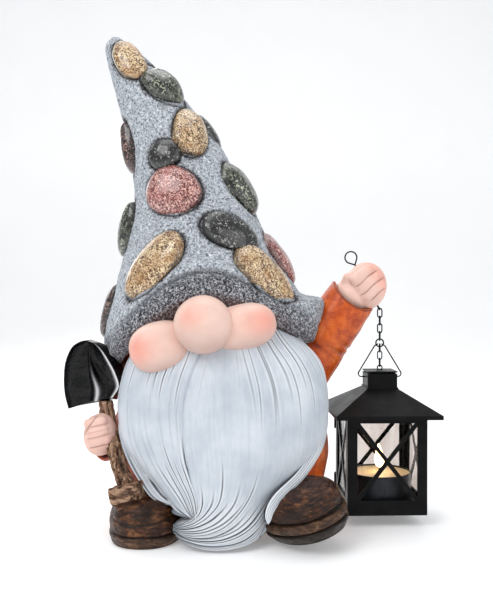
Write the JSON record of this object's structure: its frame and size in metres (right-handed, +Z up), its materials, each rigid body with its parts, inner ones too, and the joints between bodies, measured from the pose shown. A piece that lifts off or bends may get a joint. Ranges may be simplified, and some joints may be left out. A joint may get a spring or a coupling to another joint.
{
  "type": "garden gnome with lantern",
  "caption": "Bearded garden gnome in a pebbled hat, with a trowel in one fist and, on a chain from the other, a swinging candle lantern with a hinged door.",
  "frame": {"origin": "middle of the figure's flat underside, on the ground", "axes": "+Z up, the figure faces -Y, +X towards the fist that holds the lantern"},
  "size_m": [0.223, 0.1412, 0.3],
  "materials": {
    "stone_hat": "matte",
    "coat_glaze": "satin",
    "skin": "satin",
    "beard": "satin",
    "boot_leather_look": "gloss",
    "sole_dark": "satin",
    "trowel_metal_look": "gloss",
    "trowel_wood_look": "satin",
    "pebble_tan": "gloss",
    "pebble_green": "gloss",
    "pebble_charcoal": "gloss",
    "pebble_maroon": "gloss",
    "pebble_rose": "gloss",
    "black_wire": "satin",
    "lantern_black": "satin",
    "glass": "gloss",
    "tealight_cup": "satin",
    "wax": "satin",
    "wick": "matte"
  },
  "bodies": {
    "figure": {"base_plate": "stone_hat", "coat": "coat_glaze", "hat": "stone_hat", "nose": "skin", "right_cheek": "skin", "left_cheek": "skin", "beard": "beard", "right_boot": "boot_leather_look", "right_boot_sole": "boot_leather_look", "left_boot": "boot_leather_look", "left_boot_sole": "sole_dark", "right_sleeve": "coat_glaze", "left_sleeve": "coat_glaze", "right_hand": "skin", "left_hand": "skin", "trowel_blade": "trowel_metal_look", "trowel_shaft": "trowel_wood_look", "trowel_grip": "trowel_wood_look", "pebble_01": "pebble_tan", "pebble_02": "pebble_green", "pebble_03": "pebble_tan", "pebble_04": "pebble_charcoal", "pebble_05": "pebble_maroon", "pebble_06": "pebble_charcoal", "pebble_07": "pebble_rose", "pebble_08": "pebble_green", "pebble_09": "pebble_green", "pebble_10": "pebble_charcoal", "pebble_11": "pebble_tan", "pebble_12": "pebble_tan", "pebble_13": "pebble_rose", "pebble_14": "pebble_maroon", "back_pebbles": "pebble_tan"},
    "hanger": {"hanger": "black_wire"},
    "link_1": {"chain_link_1": "black_wire"},
    "link_2": {"chain_link_2": "black_wire"},
    "link_3": {"chain_link_3": "black_wire"},
    "link_4": {"chain_link_4": "black_wire"},
    "ring": {"ring": "black_wire"},
    "bail": {"bail": "black_wire"},
    "tether": {"tether_chain": "black_wire"},
    "lantern": {"cap": "lantern_black", "chimney": "lantern_black", "roof": "lantern_black", "front_frame": "lantern_black", "left_frame": "lantern_black", "right_frame": "lantern_black", "back_frame": "lantern_black", "front_glass": "glass", "left_glass": "glass", "right_glass": "glass", "lantern_floor": "lantern_black", "hinge_pins": "lantern_black", "tealight_cup": "tealight_cup", "candle_wax": "wax", "wick": "wick"},
    "door": {"door_frame": "lantern_black", "door_glass": "glass", "door_knob": "lantern_black"}
  },
  "joints": [
    {"name": "hanger_turn", "type": "hinge", "parent": "figure", "child": "hanger", "pos_m": [0.1003, 0, 0.1296], "axis": [-0.4848, 0, 0.8746], "range_deg": [-10, 10]},
    {"name": "link_1_swing", "type": "hinge", "parent": "hanger", "child": "link_1", "pos_m": [0.1003, 0, 0.1305], "axis": [-1, 0, 0], "range_deg": [-10, 10]},
    {"name": "link_2_sway", "type": "hinge", "parent": "link_1", "child": "link_2", "pos_m": [0.1003, 0, 0.1257], "axis": [0, -1, 0], "range_deg": [-0.5, 10]},
    {"name": "link_3_swing", "type": "hinge", "parent": "link_2", "child": "link_3", "pos_m": [0.1003, 0, 0.1209], "axis": [-1, 0, 0], "range_deg": [-10, 10]},
    {"name": "link_4_sway", "type": "hinge", "parent": "link_3", "child": "link_4", "pos_m": [0.1003, 0, 0.1161], "axis": [0, -1, 0], "range_deg": [-0.5, 10]},
    {"name": "ring_swing", "type": "hinge", "parent": "link_4", "child": "ring", "pos_m": [0.1003, 0, 0.11135], "axis": [-1, 0, 0], "range_deg": [-10, 10]},
    {"name": "bail_sway", "type": "hinge", "parent": "ring", "child": "bail", "pos_m": [0.1003, 0, 0.10895], "axis": [0.0349, -0.9994, 0], "range_deg": [-3, 15]},
    {"name": "lantern_swing", "type": "hinge", "parent": "bail", "child": "lantern", "pos_m": [0.1003, 0, 0.0879], "axis": [-0.9994, -0.0349, 0], "range_deg": [-25, 25]},
    {"name": "tether_swing", "type": "hinge", "parent": "lantern", "child": "tether", "pos_m": [0.1003, 0, 0.0947], "axis": [-0.9994, -0.0349, 0], "range_deg": [-38, 38]},
    {"name": "door_hinge", "type": "hinge", "parent": "lantern", "child": "door", "pos_m": [0.07563, 0.02465, 0.036], "axis": [0, 0, 1], "range_deg": [0, 110]}
  ],
  "couplings": [
    {"joint": "tether_swing", "follows": "lantern_swing", "ratio": -1.518}
  ]
}
